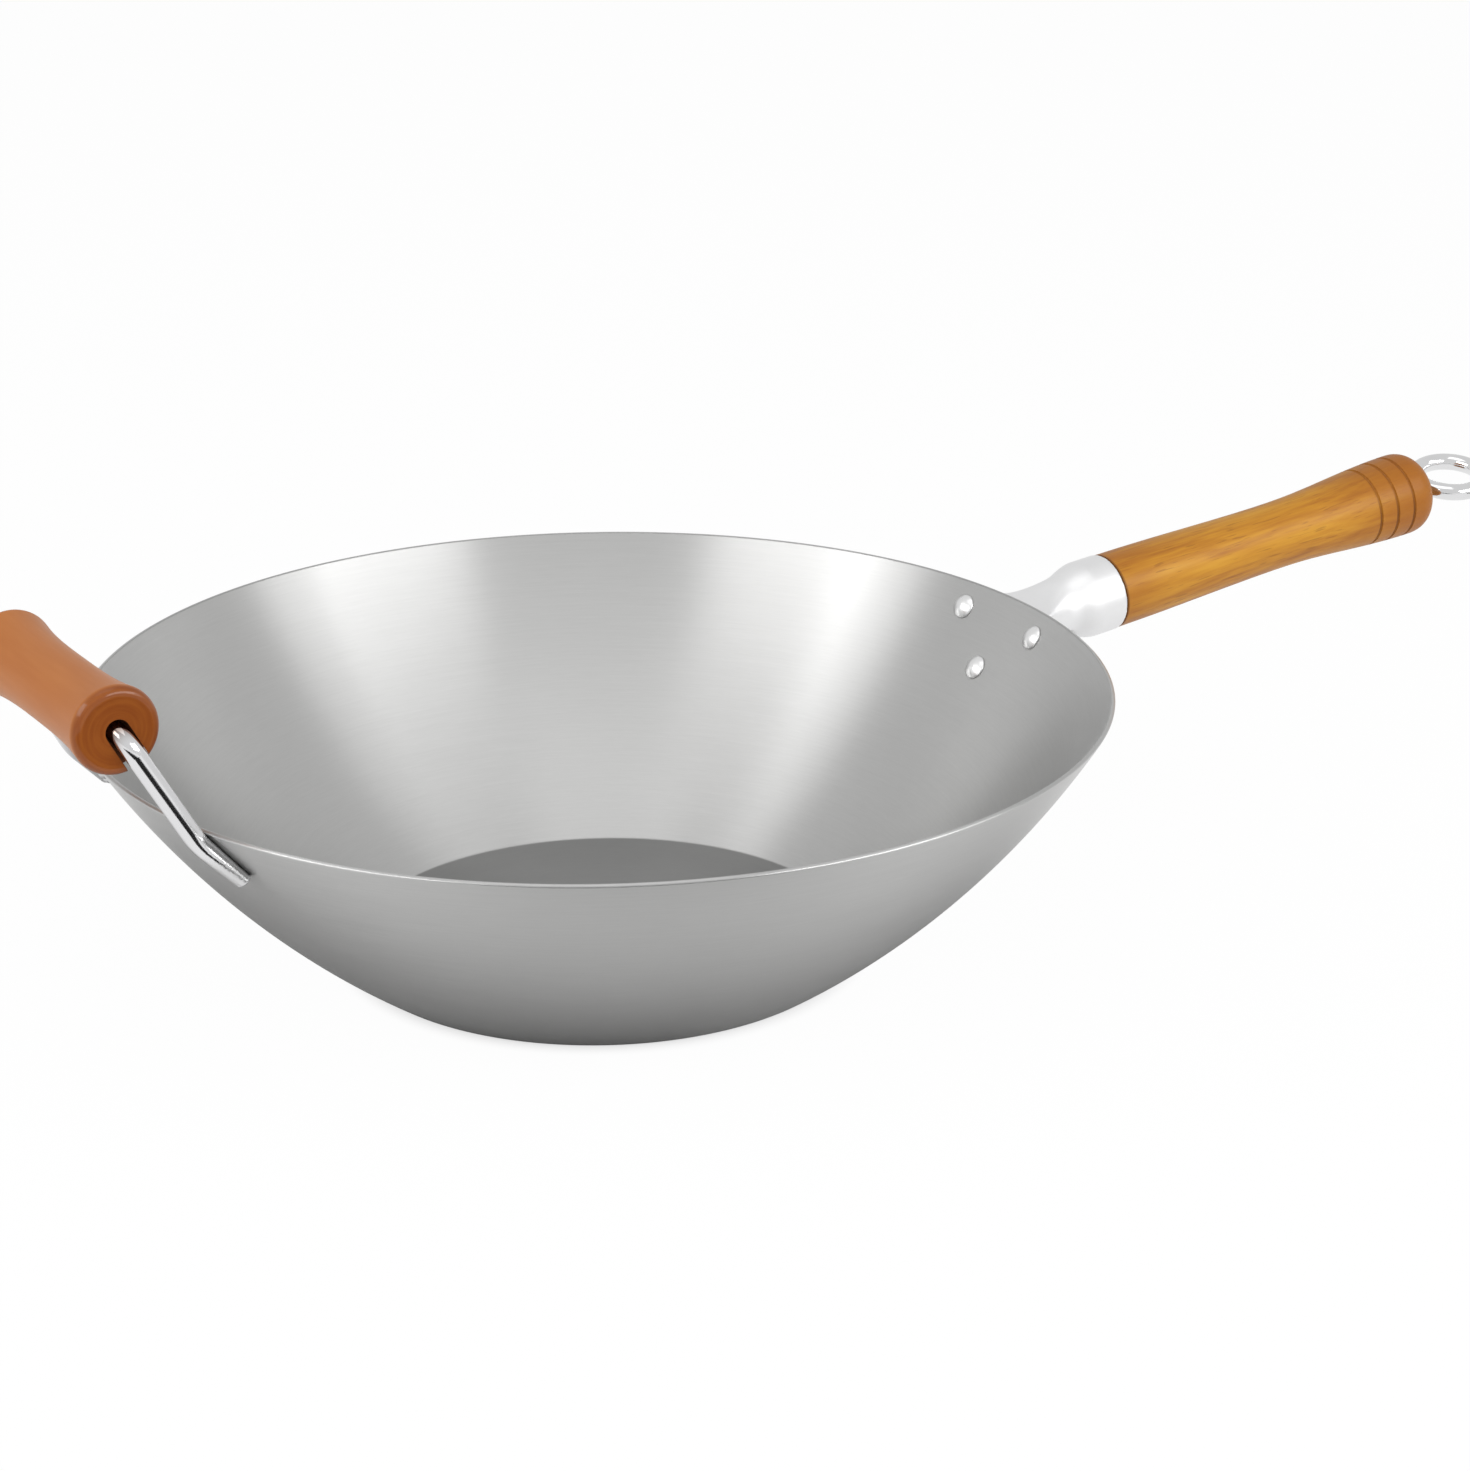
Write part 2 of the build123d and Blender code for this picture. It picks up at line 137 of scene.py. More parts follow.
def new_tree(name, inputs):
    """A Geometry Nodes tree with a geometry input, named inputs and a geometry output."""
    tree = bpy.data.node_groups.new(name, "GeometryNodeTree")
    face = tree.interface
    face.new_socket("Geometry", in_out="INPUT", socket_type="NodeSocketGeometry")
    for title, kind, value in inputs:
        socket = face.new_socket(title, in_out="INPUT", socket_type=kind)
        if value is not None:
            socket.default_value = value
    face.new_socket("Geometry", in_out="OUTPUT", socket_type="NodeSocketGeometry")
    return tree


def add_node(tree, kind, settings=(), inputs=(), output=0):
    """One output of a new node with its settings, and values or links in its sockets."""
    node = tree.nodes.new(kind)
    for key, value in dict(settings).items():
        setattr(node, key, value)
    for key, value in dict(inputs).items():
        if isinstance(value, bpy.types.NodeSocket):
            tree.links.new(value, node.inputs[key])
        else:
            node.inputs[key].default_value = value
    return node.outputs[output] if node.outputs else None


def maths(tree, operation, *terms):
    """The result of one Math node."""
    return add_node(tree, "ShaderNodeMath", {"operation": operation}, dict(enumerate(terms)))


def end_tree(tree, skin, material):
    """Ends a tree with smooth shading, real instances and the material."""
    smooth = add_node(
        tree, "GeometryNodeSetShadeSmooth", {}, {"Geometry": skin, "Shade Smooth": True}
    )
    real = add_node(tree, "GeometryNodeRealizeInstances", {}, {0: smooth})
    painted = add_node(
        tree, "GeometryNodeSetMaterial", {}, {"Geometry": real, "Material": material}
    )
    add_node(tree, "NodeGroupOutput", {}, {0: painted})
    return tree


def lathe_tree():
    """Turns the points of a section, in their order, round the Z axis into a closed skin."""
    tree = new_tree("lathe", [
        ("Steps", "NodeSocketInt", 64),
        ("Material", "NodeSocketMaterial", None),
    ])
    given = add_node(tree, "NodeGroupInput").node.outputs
    count = add_node(
        tree, "GeometryNodeAttributeDomainSize", {"component": "MESH"},
        {0: given["Geometry"]}, "Point Count",
    )
    columns = maths(tree, "ADD", given["Steps"], 1)
    grid = add_node(
        tree, "GeometryNodeMeshGrid", {}, {"Vertices X": columns, "Vertices Y": count}, "Mesh"
    )
    index = add_node(tree, "GeometryNodeInputIndex")
    row = maths(tree, "MODULO", index, count)
    column = maths(tree, "FLOOR", maths(tree, "DIVIDE", index, count))
    share = maths(tree, "DIVIDE", column, given["Steps"])
    turn = maths(tree, "MULTIPLY", share, 2 * math.pi)
    place = add_node(tree, "GeometryNodeInputPosition")
    point = add_node(
        tree, "GeometryNodeSampleIndex", {"data_type": "FLOAT_VECTOR", "domain": "POINT"},
        {0: given["Geometry"], 1: place, 2: row},
    )
    turned = add_node(
        tree, "ShaderNodeVectorRotate", {"rotation_type": "Z_AXIS"},
        {"Vector": point, "Angle": turn},
    )
    skin = add_node(
        tree, "GeometryNodeSetPosition", {}, {"Geometry": grid, "Position": turned}
    )
    closed = add_node(
        tree, "GeometryNodeMergeByDistance", {}, {"Geometry": skin, "Distance": seam_distance}
    )
    return end_tree(tree, closed, given["Material"])


def evaluated_mesh(piece):
    """A plain mesh of an object with its modifiers applied."""
    bpy.context.view_layer.update()
    return bpy.data.meshes.new_from_object(
        piece.evaluated_get(bpy.context.evaluated_depsgraph_get())
    )


def grown(name, mesh, tree, values, material):
    """An object whose mesh is what a Geometry Nodes tree makes of a starting mesh."""
    piece = bpy.data.objects.new(name, mesh)
    scene.collection.objects.link(piece)
    modifier = piece.modifiers.new("grow", "NODES")
    modifier.node_group = tree
    sockets = {item.name: item.identifier for item in tree.interface.items_tree
               if item.item_type == "SOCKET" and item.in_out == "INPUT"}
    for title, value in {**values, "Material": material}.items():
        modifier[sockets[title]] = value
    made = evaluated_mesh(piece)
    piece.modifiers.clear()
    piece.data = made
    made.name = name
    return piece


class Value:
    """A node's output. Arithmetic on it adds Math nodes to the same tree."""

    def __init__(self, finish, socket):
        self.finish, self.socket = finish, socket

    def math(self, operation, *terms):
        return self.finish.node(
            "ShaderNodeMath", {"operation": operation}, dict(enumerate(terms))
        )

    def __add__(self, other):
        return self.math("ADD", self, other)

    __radd__ = __add__

    def __sub__(self, other):
        return self.math("SUBTRACT", self, other)

    def __rsub__(self, other):
        return self.math("SUBTRACT", other, self)

    def __mul__(self, other):
        return self.math("MULTIPLY", self, other)

    __rmul__ = __mul__

    def __truediv__(self, other):
        return self.math("DIVIDE", self, other)

    def __pow__(self, other):
        return self.math("POWER", self, other)

    def __abs__(self):
        return self.math("ABSOLUTE", self)

    def step(self, start, end):
        """0 before start, 1 after end, and a smooth rise between them."""
        return self.finish.node(
            "ShaderNodeMapRange", {"interpolation_type": "SMOOTHSTEP"},
            {0: self, 1: start, 2: end, 3: 0, 4: 1},
        )


class Finish:
    """A node tree of a material, a lamp or the world, and the ways to add to it."""

    def __init__(self, tree):
        self.tree = tree
        tree.nodes.clear()

    def node(self, kind, settings=(), inputs=(), output=0):
        """A node with its settings, and values or links in its sockets; one of its outputs."""
        node = self.tree.nodes.new(kind)
        for key, value in dict(settings).items():
            if key == "stops":
                ramp = node.color_ramp.elements
                while len(ramp) < len(value):
                    ramp.new(0.5)
                for element, (at, colour) in zip(ramp, value):
                    element.position, element.color = at, (*colour, 1)
            else:
                setattr(node, key, value)
        for key, value in dict(inputs).items():
            if isinstance(value, Value):
                self.tree.links.new(value.socket, node.inputs[key])
            elif isinstance(value, tuple) and len(node.inputs[key].default_value) == 4:
                node.inputs[key].default_value = (*value, 1)
            else:
                node.inputs[key].default_value = value
        return Value(self, node.outputs[output]) if node.outputs else None

    def place(self):
        """The three object coordinates."""
        coordinates = self.node("ShaderNodeTexCoord", output="Object")
        split = self.node("ShaderNodeSeparateXYZ", {}, {0: coordinates})
        return [Value(self, split.socket.node.outputs[i]) for i in range(3)]

    def vector(self, x, y, z):
        return self.node("ShaderNodeCombineXYZ", {}, {0: x, 1: y, 2: z})

    def noise(self, vector, detail=2, roughness=0.5):
        """Noise from 0 to 1 whose size comes from its vector."""
        return self.node("ShaderNodeTexNoise", {}, {
            "Vector": vector, "Scale": 1, "Detail": detail, "Roughness": roughness,
        })

    def lumps(self, place, scale, detail=2, roughness=0.5):
        """Noise that is the same size in all directions."""
        return self.noise(self.vector(*(axis * scale for axis in place)), detail, roughness)

    def blend(self, share, first, second):
        """A mix of two colours."""
        return self.node(
            "ShaderNodeMix", {"data_type": "RGBA"}, {0: share, 6: first, 7: second}, output=2
        )

    def bump(self, height, distance, strength=1.0):
        """A normal that follows a height in metres times distance."""
        return self.node("ShaderNodeBump", {}, {
            "Height": height, "Distance": distance, "Strength": strength,
        })

    def principled(self, **sockets):
        """The surface shader, with its sockets named in Python's way."""
        return self.node("ShaderNodeBsdfPrincipled", {}, {
            key.replace("_", " ").title().replace("Ior", "IOR"): value
            for key, value in sockets.items()
        })

    def end(self, shader, kind="ShaderNodeOutputMaterial"):
        self.node(kind, {}, {0: shader})


def new_material(name):
    """A material with an empty tree, and the finish that fills it."""
    material = bpy.data.materials.new(name)
    material.use_nodes = True
    return material, Finish(material.node_tree)


# The brushing is long scratches and finer short ones, by their number in a radian round the
# bowl and in a metre up its wall. The inside of the flat base is painted darker, a painted dark
# reflection, and the rim's edge is a little darker.
long_round, long_rows = 5.5, 900
short_round, short_rows = 22, 2600
below_rim, above_rim = 0.0001, 0.0003
flat_fade = 0.0006
middle_of_sheet, sheet_fade = 0.5, 0.1

steel, finish = new_material("brushed_carbon_steel")
x, y, z = finish.place()
reach = (x * x + y * y) ** 0.5
along_wall = reach + z
long_scratches = finish.noise(
    finish.vector(x / reach * long_round, y / reach * long_round, along_wall * long_rows),
    detail=3, roughness=0.65,
)
short_scratches = finish.noise(
    finish.vector(x / reach * short_round, y / reach * short_round, along_wall * short_rows),
    roughness=0.6,
)
cloud = finish.lumps((x, y, z), 22)
from_centre = ((reach - wall_centre.x) ** 2 + (z - wall_centre.y) ** 2) ** 0.5
outside = from_centre.step(
    wall_arc_radius - (middle_of_sheet + sheet_fade) * sheet,
    wall_arc_radius - (middle_of_sheet - sheet_fade) * sheet,
)
rim = z.step(bowl_height - below_rim, bowl_height + above_rim)
# Painted shade: the inside of the flat base is darkened in colour, standing in for a dark
# reflection.
painted_base_shade = (1 - outside) * (
    1 - reach.step(knuckle_centre.x - flat_fade, knuckle_centre.x + flat_fade)
)
tone = (
    0.46 + 0.06 * long_scratches + 0.04 * short_scratches + 0.03 * cloud - 0.04 * rim
) * (1 - 0.43 * painted_base_shade)
scratches = 0.6 * long_scratches + 0.4 * short_scratches
finish.end(finish.principled(
    base_color=finish.vector(tone, tone, tone * 0.99),
    metallic=1.0,
    roughness=0.32 + 0.06 * long_scratches,
    anisotropic=0.88,
    anisotropic_rotation=0.25,
    normal=finish.bump(scratches, 0.000012),
))

lathe = lathe_tree()
bowl = grown(
    "bowl", section_mesh("bowl_section", bowl_section), lathe, {"Steps": bowl_steps}, steel
)
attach(bowl, "wok")
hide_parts("wok_bowl")


# Handle bracket: a cast aluminium plate, neck and ferrule in one piece, tumbled and polished
# to a bright satin, riveted to the outside of the wall. Its skin is remade from the solid, and
# the crease behind the ferrule is eased as a casting's is.
ferrule_past_rim = 0.0412
ferrule_below_rim = 0.0048
ferrule_length = 0.011
ferrule_shoulder_length = 0.013
handle_rise = math.radians(5.8)
merge_distance = 0.00001
skin_voxel = 0.0005
ease_rounds = 60

alloy, finish = new_material("satin_cast_alloy")
x, y, z = finish.place()
grain = finish.lumps((x, y, z), 900)
haze = finish.lumps((x, y, z), 60)
tone = 0.79 + 0.05 * haze + 0.02 * grain
finish.end(finish.principled(
    base_color=finish.vector(tone, tone, tone * 1.005),
    metallic=1.0,
    roughness=0.42 + 0.10 * haze,
    normal=finish.bump(grain, 0.00001, 0.6),
))

collar = Vector((rim_radius + ferrule_past_rim, 0, bowl_height - ferrule_below_rim))
handle_direction = Vector((math.cos(handle_rise), 0, math.sin(handle_rise)))
ferrule_back = collar - (ferrule_length + ferrule_shoulder_length) * handle_direction


def ease_tree():
    """Smooths a skin everywhere a little, and a lot near one plane square to a direction."""
    tree = new_tree("ease_crease", [
        ("Rounds", "NodeSocketInt", 40),
        ("Near", "NodeSocketFloat", 0.008),
        ("Far", "NodeSocketFloat", 0.013),
        ("Little", "NodeSocketFloat", 0.03),
        ("Direction", "NodeSocketVector", None),
        ("Place", "NodeSocketVector", None),
        ("Material", "NodeSocketMaterial", None),
    ])
    given = add_node(tree, "NodeGroupInput").node.outputs
    place = add_node(tree, "GeometryNodeInputPosition")
    offset = add_node(
        tree, "ShaderNodeVectorMath", {"operation": "SUBTRACT"}, {0: place, 1: given["Place"]}
    )
    distance = add_node(
        tree, "ShaderNodeVectorMath", {"operation": "DOT_PRODUCT"},
        {0: offset, 1: given["Direction"]}, "Value",
    )
    weight = add_node(
        tree, "ShaderNodeMapRange", {"interpolation_type": "SMOOTHSTEP"},
        {0: maths(tree, "ABSOLUTE", distance), 1: given["Near"], 2: given["Far"],
         3: 1.0, 4: given["Little"]},
    )
    eased = add_node(
        tree, "GeometryNodeBlurAttribute", {"data_type": "FLOAT_VECTOR"},
        {"Value": place, "Iterations": given["Rounds"], "Weight": weight},
    )
    moved = add_node(
        tree, "GeometryNodeSetPosition", {}, {"Geometry": given["Geometry"], "Position": eased}
    )
    return end_tree(tree, moved, given["Material"])


cast = bpy.data.objects.new("cast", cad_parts["handle_bracket"].data.copy())
scene.collection.objects.link(cast)
cast.modifiers.new("merge", "WELD").merge_threshold = merge_distance
skin = cast.modifiers.new("skin", "REMESH")
skin.mode, skin.voxel_size = "VOXEL", skin_voxel
cast_mesh = evaluated_mesh(cast)
bpy.data.objects.remove(cast)
bracket = grown("bracket", cast_mesh, ease_tree(), {
    "Rounds": ease_rounds, "Direction": handle_direction, "Place": ferrule_back,
}, alloy)
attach(bracket, "wok")
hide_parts("handle_bracket")


# Rivets: three solid aluminium rivets with low domed heads inside the bowl, set by a press
# against the bracket's plate.
seat_gap = 0.0001
plate_thickness = 0.0026
rivet_half_spread = 0.0212
upper_rivet_below_rim = 0.0085
neck_root_below_rim = 0.0194
lower_rivet_below_neck = 0.0049
upper_rivet_height = bowl_height - upper_rivet_below_rim
lower_rivet_height = bowl_height - neck_root_below_rim - lower_rivet_below_neck
head_radius = 0.0045
head_height = 0.0020
tail_radius = 0.0037
tail_height = 0.0015
shank_radius = 0.0025
head_seat = sheet + seat_gap
tail_seat = plate_thickness + 2 * seat_gap
edge_share = 0.2
head_steps, tail_steps, rivet_steps = 12, 8, 48


def dome(radius, height, steps):
    """A low dome's line, from its top to its edge, over a short straight edge."""
    rise = height * (1 - edge_share)
    turn = 2 * math.atan(rise / radius)
    ball = radius / math.sin(turn)
    return [
        (ball * math.sin(turn * i / steps), height - ball * (1 - math.cos(turn * i / steps)))
        for i in range(steps + 1)
    ]


head = [(r, -head_seat - h) for r, h in dome(head_radius, head_height, head_steps)]
tail = [(r, tail_seat + h) for r, h in dome(tail_radius, tail_height, tail_steps)]
rivet_section = head + [
    (head_radius, -head_seat), (shank_radius, -head_seat),
    (shank_radius, tail_seat), (tail_radius, tail_seat),
] + tail[::-1]


def rivet_tree():
    """Sets one turned rivet at each point, its axis square to the bowl's wall."""
    tree = new_tree("set_rivets", [
        ("Rivet", "NodeSocketObject", None),
        ("Material", "NodeSocketMaterial", None),
    ])
    given = add_node(tree, "NodeGroupInput").node.outputs
    rivet = add_node(
        tree, "GeometryNodeObjectInfo", {}, {"Object": given["Rivet"]}, "Geometry"
    )
    square = add_node(
        tree, "GeometryNodeInputNamedAttribute", {"data_type": "FLOAT_VECTOR"},
        {"Name": "square"},
    )
    turn = add_node(
        tree, "FunctionNodeAlignRotationToVector", {"axis": "Z"}, {"Vector": square}
    )
    placed = add_node(
        tree, "GeometryNodeInstanceOnPoints", {},
        {"Points": given["Geometry"], "Instance": rivet, "Rotation": turn},
    )
    return end_tree(tree, placed, given["Material"])


rivet_alloy, finish = new_material("bright_rivet_alloy")
x, y, z = finish.place()
dents = finish.lumps((x, y, z), 420)
tone = 0.80 + 0.06 * dents
finish.end(finish.principled(
    base_color=finish.vector(tone, tone, tone),
    metallic=1.0,
    roughness=0.24 + 0.12 * dents,
    normal=finish.bump(dents, 0.00008),
))

one_rivet = grown(
    "one_rivet", section_mesh("rivet_section", rivet_section), lathe, {"Steps": rivet_steps},
    rivet_alloy,
)
spots, squares = [], []
for sideways, height in (
    (-rivet_half_spread, upper_rivet_height),
    (rivet_half_spread, upper_rivet_height),
    (0, lower_rivet_height),
):
    drop = math.asin((wall_centre.y - height) / wall_arc_radius)
    wall_reach = wall_centre.x + wall_arc_radius * math.cos(drop)
    turn = math.asin(sideways / wall_reach)
    out = Vector((math.cos(turn), math.sin(turn), 0))
    spots.append(out * wall_reach + Vector((0, 0, height)))
    squares.append(out * math.cos(drop) - Vector((0, 0, math.sin(drop))))
spot_mesh = bpy.data.meshes.new("rivet_spots")
spot_mesh.from_pydata(spots, [], [])
spot_mesh.attributes.new("square", "FLOAT_VECTOR", "POINT").data.foreach_set(
    "vector", [value for square in squares for value in square]
)
rivets = grown("rivets", spot_mesh, rivet_tree(), {"Rivet": one_rivet}, rivet_alloy)
bpy.data.objects.remove(one_rivet)
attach(rivets, "wok")
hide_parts("bracket_rivets")


# Captive nut: a zinc-plated steel hexagon nut in the floor of the ferrule. The tie rod screws
# into it, and nothing of it shows once the handle is on.
zinc, finish = new_material("zinc_plated_steel")
patches = finish.lumps(finish.place(), 500)
finish.end(finish.principled(
    base_color=finish.blend(patches, (0.50, 0.50, 0.46), (0.66, 0.65, 0.58)),
    metallic=1.0,
    roughness=0.30 + 0.15 * patches,
))


def dress(node, material):
    """Gives a CAD node, whose mesh stays as it is, its material."""
    node.data.materials.clear()
    node.data.materials.append(material)


dress(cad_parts["ferrule_nut"], zinc)


# Long handle: turned hardwood, stained golden brown and lacquered, with three burnt grooves
# near its round end. Its grain runs along it.
grip_length = 0.153
first_groove_from_end = 0.0154
groove_pitch = 0.008
groove_count = 3
burn_core, burn_edge = 0.0003, 0.0008
joint_core, joint_edge = 0.0004, 0.0010
burn_side, burn_top = -0.002, 0.009
dark_end_start, dark_end_full = 0.090, 0.146
collar_shade_full, collar_shade_end = 0.002, 0.024
pore_start, pore_full = 0.62, 0.72

honey, finish = new_material("lacquered_golden_wood")
x, y, z = finish.place()
across_handle = Vector((-handle_direction.z, 0, handle_direction.x))
along = x * handle_direction.x + z * handle_direction.z - collar.dot(handle_direction)
above = x * across_handle.x + z * across_handle.z - collar.dot(across_handle)
wander = finish.noise(finish.vector(along * 14, y * 40, above * 40), detail=1) - 0.5
figure = finish.noise(
    finish.vector(along * 9, y * 95 + wander * 1.6, above * 95 + wander * 1.6),
    detail=3, roughness=0.6,
)
fibres = finish.noise(finish.vector(along * 38, y * 620, above * 620), roughness=0.6)
pores = finish.noise(finish.vector(along * 95, y * 1300, above * 1300), detail=1)
pores = pores.step(pore_start, pore_full)
wood = finish.node("ShaderNodeValToRGB", {"stops": [
    (0.26, (0.250, 0.082, 0.008)),
    (0.40, (0.395, 0.152, 0.013)),
    (0.54, (0.515, 0.232, 0.019)),
    (0.72, (0.610, 0.318, 0.032)),
]}, {0: 0.66 * figure + 0.34 * fibres})
wood = finish.blend(0.40 * pores, wood, (0.180, 0.060, 0.008))
# Darker towards the round end, and painted darker next to the ferrule as painted shade.
dark_end_and_painted_collar_shade = 0.90 * along.step(dark_end_start, dark_end_full)
dark_end_and_painted_collar_shade = dark_end_and_painted_collar_shade + 0.40 * (1 - along.step(collar_shade_full, collar_shade_end))
wood = finish.blend(dark_end_and_painted_collar_shade, wood, (0.325, 0.105, 0.008))
grooves = (grip_length - first_groove_from_end - i * groove_pitch for i in range(groove_count))
burn_joint_and_painted_shade = sum(1 - abs(along - groove).step(burn_core, burn_edge) for groove in grooves)
# The burnt grooves fade on the handle's top: a painted shade keeps them darker on their underside.
# A dark line marks the joint at the ferrule.
burn_joint_and_painted_shade = burn_joint_and_painted_shade * (1 - 0.7 * above.step(burn_side, burn_top))
burn_joint_and_painted_shade = burn_joint_and_painted_shade + (1 - along.step(joint_core, joint_edge))
wood = finish.blend(0.65 * burn_joint_and_painted_shade, wood, (0.110, 0.036, 0.006))
finish.end(finish.principled(
    base_color=wood,
    roughness=0.46 + 0.10 * fibres,
    coat_weight=0.12,
    coat_roughness=0.25,
    specular_ior_level=0.25,
    normal=finish.bump(fibres, 0.00004, 0.5),
))
dress(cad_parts["handle_grip"], honey)


# Hanging loop: a round eye of chromed steel wire at the end of the tie rod, which runs
# through the handle and turns in the nut.
chrome, finish = new_material("polished_chrome")
smear = finish.lumps(finish.place(), 130)
finish.end(finish.principled(
    base_color=finish.blend(smear, (0.70, 0.70, 0.71), (0.80, 0.80, 0.80)),
    metallic=1.0,
    roughness=0.07 + 0.08 * smear,
))
dress(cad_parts["hanging_loop"], chrome)


# Helper bail: a chromed steel bar, bent twice, whose flattened feet are welded to the wall
# with a row of small beads. Where it runs into the grip it is painted dark, as painted shade
# and a painted reflection of the dark wood of the slot.
grip_half_length = 0.0445
weld_top, foot_top = 0.080, 0.088
slot_shade_inside, slot_shade_outside = 0.0005, 0.0040

bail_chrome, finish = new_material("chromed_bar")
x, y, z = finish.place()
smear = finish.lumps((x, y, z), 130)
spatter = finish.lumps((x, y, z), 700, detail=3, roughness=0.7)
weld = 1 - z.step(weld_top, foot_top)
# Painted shade and painted reflection: the bar is darkened where it sits inside the grip's slot.
painted_slot_shade_on_bar = 1 - abs(y).step(grip_half_length - slot_shade_inside, grip_half_length + slot_shade_outside)
metal = finish.blend(0.5 * weld, (0.76, 0.76, 0.77), (0.62, 0.62, 0.61))
finish.end(finish.principled(
    base_color=finish.blend(0.8 * painted_slot_shade_on_bar, metal, (0.16, 0.07, 0.03)),
    metallic=1.0,
    roughness=0.08 + 0.08 * smear + 0.20 * weld,
    normal=finish.bump(spatter * weld, 0.0002),
))
dress(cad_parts["helper_bail"], bail_chrome)


# Helper grip: turned hardwood with a red-brown satin lacquer, slotted at both ends for the
# bail, with polished end faces.
bail_past_rim = 0.0165
bail_above_rim = 0.036
leg_direction = Vector((0.4744, -0.8803))
face_start, face_end = 0.0032, 0.0012
slot_start, slot_end = 0.030, 0.034
slot_radius = 0.00405
slot_fade = 0.00003

russet, finish = new_material("satin_red_brown_wood")
x, y, z = finish.place()
side, lift = x + (rim_radius + bail_past_rim), z - (bowl_height + bail_above_rim)
figure = finish.noise(finish.vector(side * 60, y * 9, lift * 60), detail=3, roughness=0.55)
fibres = finish.noise(finish.vector(side * 520, y * 30, lift * 520))
from_axis = (side * side + lift * lift) ** 0.5
rings = finish.noise(finish.vector(from_axis * 900, side * 70, lift * 70))
wood = finish.blend(figure.step(0.3, 0.7), (0.420, 0.140, 0.032), (0.470, 0.172, 0.046))
wood = finish.blend(0.25 * fibres, wood, (0.320, 0.098, 0.022))
end_grain = finish.blend(rings.step(0.2, 0.8), (0.200, 0.045, 0.003), (0.250, 0.066, 0.006))
face = abs(y).step(grip_half_length - face_start, grip_half_length - face_end)
wood = finish.blend(face, wood, end_grain)
down_leg = side * leg_direction.x + lift * leg_direction.y
across_leg = side * leg_direction.y - lift * leg_direction.x
past_end = down_leg.math("MINIMUM", down_leg, 0)
from_slot = (across_leg * across_leg + past_end * past_end) ** 0.5
# Painted shade: the slots' walls are darkened nearly to black, as shade in the recess.
painted_slot_shade_in_wood = 1 - from_slot.step(slot_radius - slot_fade, slot_radius + slot_fade)
painted_slot_shade_in_wood = painted_slot_shade_in_wood * abs(y).step(slot_start, slot_end)
wood = finish.blend(0.85 * painted_slot_shade_in_wood, wood, (0.055, 0.014, 0.006))
finish.end(finish.principled(
    base_color=wood,
    roughness=0.52 - 0.12 * face + 0.05 * fibres,
    coat_weight=0.18 + 0.32 * face,
    coat_roughness=0.16 - 0.06 * face,
    specular_ior_level=0.15,
    normal=finish.bump(fibres, 0.00003, 0.4),
))
dress(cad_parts["helper_grip"], russet)


# Studio: a white table that keeps the wok's soft shadow, a white room, and soft boxes: one on
# the left and one on the right, each with a dimmer wing on its far side, one overhead, and
# one in front that no reflection shows. In reflections the table near the wok is darker: it
# shows its real shadow there, with a painted shadow in its colour, stretched sideways and set
# a little to the left.
floor_half_width = 6.0
floor_drop = 0.0001
floor_mesh = bpy.data.meshes.new("table_top")
floor_mesh.from_pydata(
    [(sx * floor_half_width, sy * floor_half_width, -floor_drop)
     for sx, sy in ((-1, -1), (1, -1), (1, 1), (-1, 1))],
    [], [(0, 1, 2, 3)],
)
floor = bpy.data.objects.new("table_top", floor_mesh)
scene.collection.objects.link(floor)


def ray_kinds(finish):
    """1 for what the camera sees itself, and 1 for what it sees in a mirror or through glass."""
    path = finish.node("ShaderNodeLightPath").socket.node.outputs
    direct, mirrored, through = (Value(finish, path[name]) for name in (
        "Is Camera Ray", "Is Glossy Ray", "Is Transmission Ray"
    ))
    return direct, finish.node("ShaderNodeClamp", {}, {0: mirrored + through, 1: 0, 2: 1})


contact_share, mirrored_share, open_share = 0.55, 0.02, 0.97
contact_inside, contact_outside = 0.005, 0.008
shade_start, shade_end = 0.10, 0.21
shade_left = 0.018
shade_stretch = 1.4
table_white, shade_depth = 0.92, 0.55
card_grey = 0.02

table, finish = new_material("white_table")
x, y, z = finish.place()
from_middle = (x * x + y * y) ** 0.5
direct, mirrored = ray_kinds(finish)
off_contact = from_middle.step(base_radius - contact_inside, base_radius + contact_outside)
direct_white = contact_share + (open_share - contact_share) * off_contact
across = x * math.cos(camera_turn) + y * math.sin(camera_turn) + shade_left
inwards = y * math.cos(camera_turn) - x * math.sin(camera_turn)
from_shade = ((across / shade_stretch) ** 2 + inwards ** 2) ** 0.5
off_shade = from_shade.step(shade_start, shade_end)
mirrored_white = mirrored_share + (open_share - mirrored_share) * off_shade
# Painted shadow: for reflections, the table's colour is darkened round the wok.
paint = table_white - shade_depth * (1 - direct) * mirrored * (1 - off_shade)
finish.end(finish.node("ShaderNodeMixShader", {}, {
    0: direct * direct_white + (1 - direct) * mirrored * mirrored_white,
    1: finish.node("ShaderNodeBsdfDiffuse", {}, {"Color": finish.vector(paint, paint, paint)}),
    2: finish.node("ShaderNodeEmission", {}, {"Color": (1, 1, 1), "Strength": 1}),
}))
floor_mesh.materials.append(table)

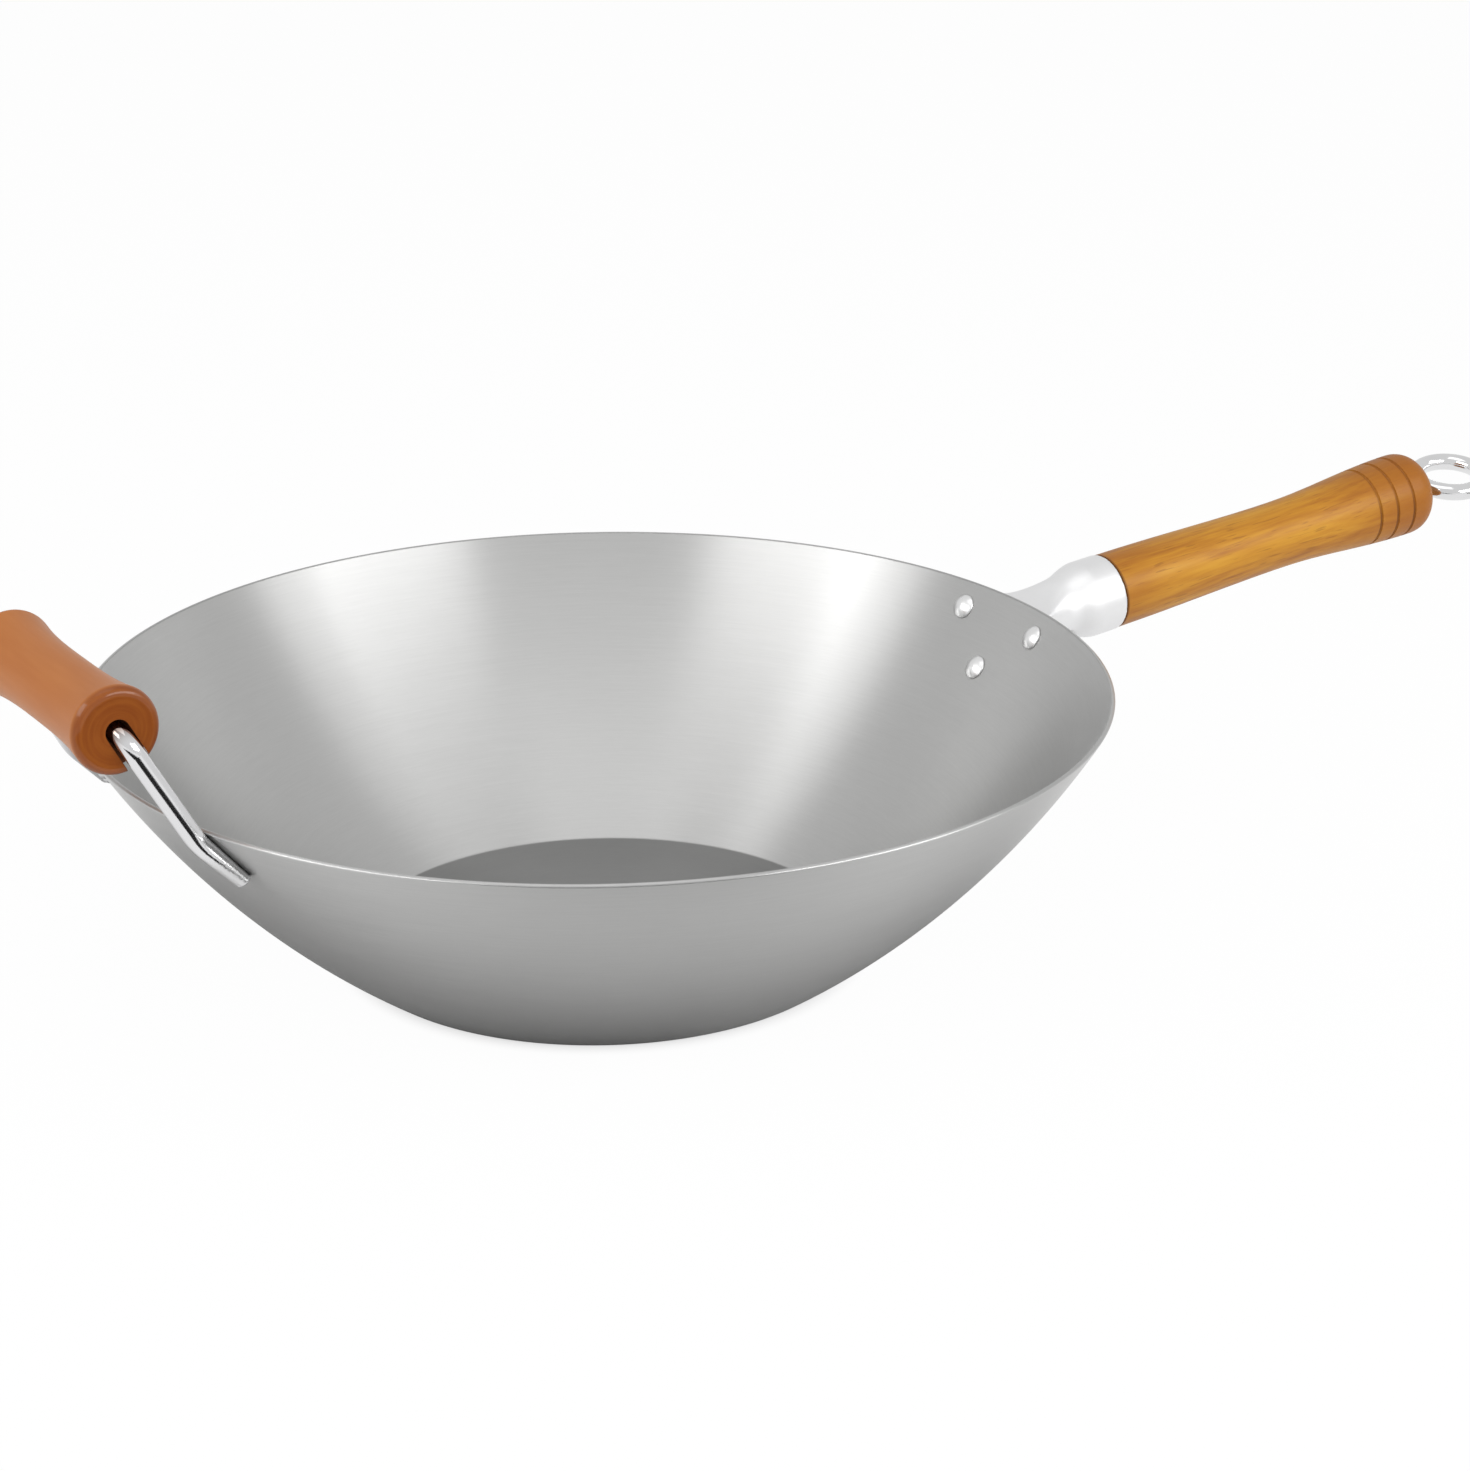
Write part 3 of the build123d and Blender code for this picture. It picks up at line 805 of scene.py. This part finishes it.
room_light, mirrored_room = 0.40, 0.80
world = bpy.data.worlds.new("white_room")
world.use_nodes = True
scene.world = world
finish = Finish(world.node_tree)
direct, mirrored = ray_kinds(finish)
finish.end(finish.node("ShaderNodeBackground", {}, {
    "Color": (1, 1, 1),
    "Strength": room_light + (1 - room_light) * direct
    + (mirrored_room - room_light) * (1 - direct) * mirrored,
}), "ShaderNodeOutputWorld")


def soft_box(name, azimuth, elevation, distance, width, depth, radiance):
    """A rectangular lamp that faces the bowl, by its own brightness."""
    lamp = bpy.data.lights.new(name, "AREA")
    lamp.shape = "RECTANGLE"
    lamp.size, lamp.size_y = width, depth
    lamp.energy = radiance * math.pi * width * depth
    box = bpy.data.objects.new(name, lamp)
    a, e = math.radians(azimuth), math.radians(elevation)
    place = distance * Vector((math.cos(a) * math.cos(e), math.sin(a) * math.cos(e), math.sin(e)))
    facing = place.to_track_quat("Z", "Y").to_matrix().to_4x4()
    box.matrix_world = Matrix.Translation(place) @ facing
    scene.collection.objects.link(box)
    return box


soft_box("left_box", 186, 37, 1.6, 1.1, 0.6, 3.2)
soft_box("left_wing", 157, 37, 1.6, 0.5, 0.6, 2.2)
soft_box("right_box", 295, 28, 1.6, 1.1, 0.55, 4.8)
soft_box("right_wing", 324, 28, 1.6, 0.5, 0.55, 2.2)
soft_box("top_box", 240, 82, 1.5, 0.9, 0.8, 0.8)
soft_box("front_fill", 240, 35, 1.6, 0.9, 0.9, 2.6).visible_glossy = False

# Two black cards, one on the table in front of the helper handle and one standing beside the
# long handle, which show only in reflections, as thin dark lines.
card_mesh = bpy.data.meshes.new("black_cards")
card_lift, card_top = 0.001, 0.05
lying = [(-0.62, -0.20), (-0.62, -0.60), (0.10, -0.60), (0.10, -0.30), (-0.16, -0.20)]
near_end, far_end = (0.44, -0.42), (0.62, -0.30)
card_mesh.from_pydata(
    [(*point, card_lift) for point in lying]
    + [(*near_end, card_lift), (*far_end, card_lift), (*far_end, card_top), (*near_end, card_top)],
    [], [(0, 1, 2, 3, 4), (5, 6, 7, 8)],
)
card = bpy.data.objects.new("black_cards", card_mesh)
scene.collection.objects.link(card)
card.visible_camera = card.visible_diffuse = card.visible_shadow = False
black, finish = new_material("black_felt")
finish.end(finish.node("ShaderNodeBsdfDiffuse", {}, {"Color": (card_grey,) * 3}))
card_mesh.materials.append(black)
